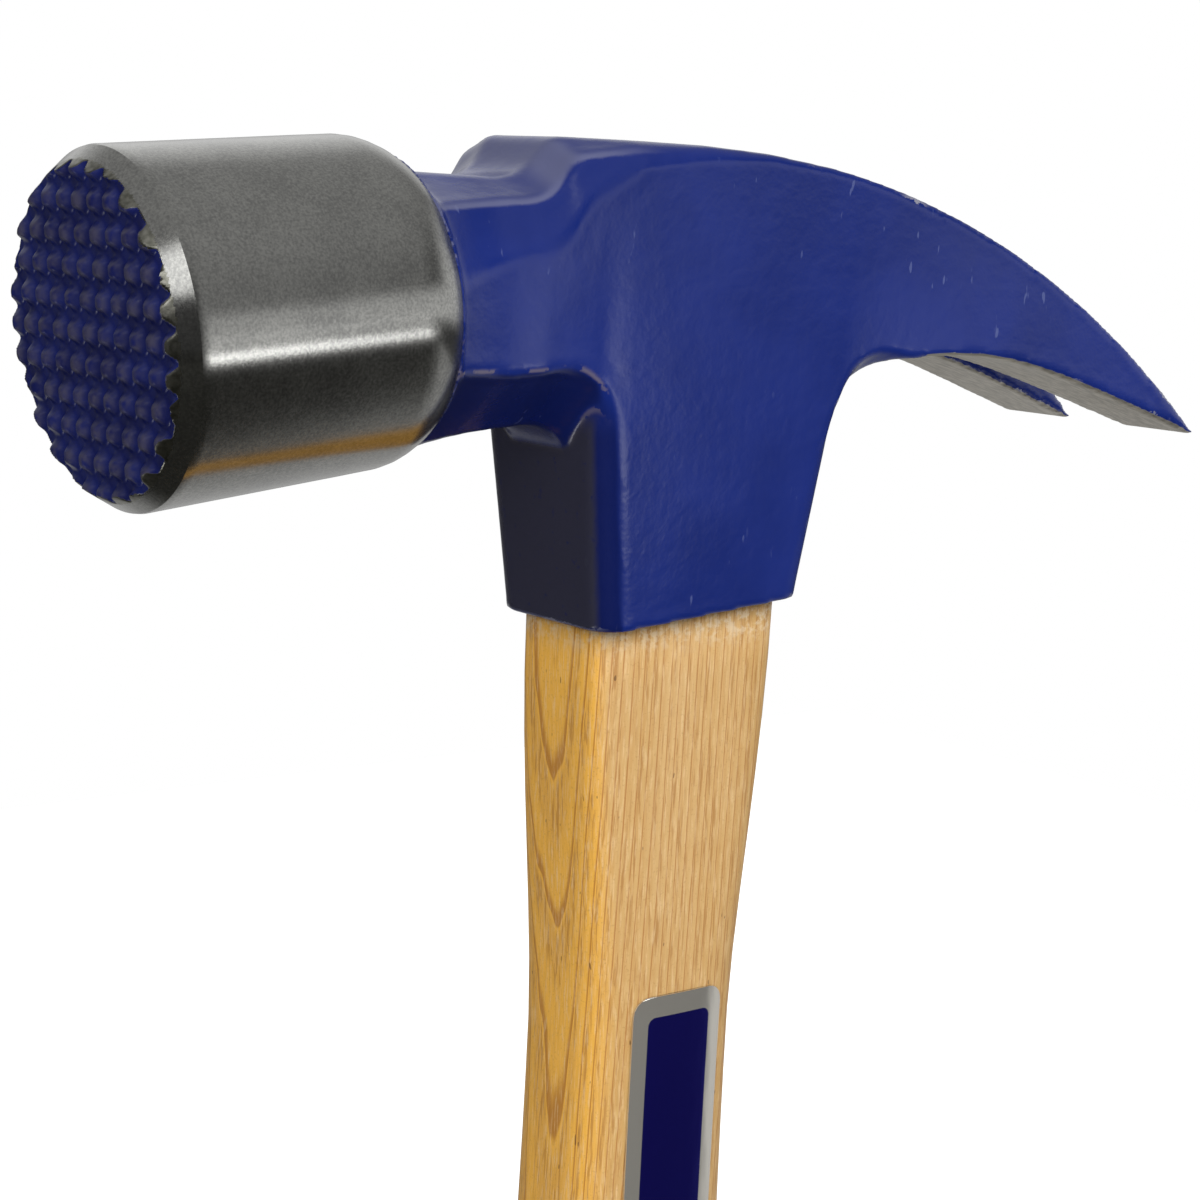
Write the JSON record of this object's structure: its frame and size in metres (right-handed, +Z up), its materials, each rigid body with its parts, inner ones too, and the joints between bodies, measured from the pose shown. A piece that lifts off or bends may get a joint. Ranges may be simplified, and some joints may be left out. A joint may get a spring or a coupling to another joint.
{
  "type": "framing hammer",
  "caption": "Framing hammer with a milled striking face, straight rip claws and a wedged wooden handle.",
  "frame": {"origin": "centre of the butt end of the handle, on the axis of the handle", "axes": "+Z up the handle towards the head, +X towards the claws, -X towards the striking face"},
  "size_m": [0.1449, 0.0344, 0.406],
  "materials": {
    "head_enamel": "glossy blue enamel over forged steel",
    "ground_steel": "ground and clear lacquered",
    "hickory": "sanded and clear lacquered hickory",
    "wedge_wood": "end grain, unfinished",
    "wedge_steel": "bare stamped steel",
    "label_foil": "polished foil with a blue field"
  },
  "bodies": {
    "root": {"head": "head_enamel", "handle": "hickory", "wood_wedge": "wedge_wood", "steel_wedge_front": "wedge_steel", "steel_wedge_rear": "wedge_steel", "handle_label": "label_foil"}
  },
  "joints": []
}
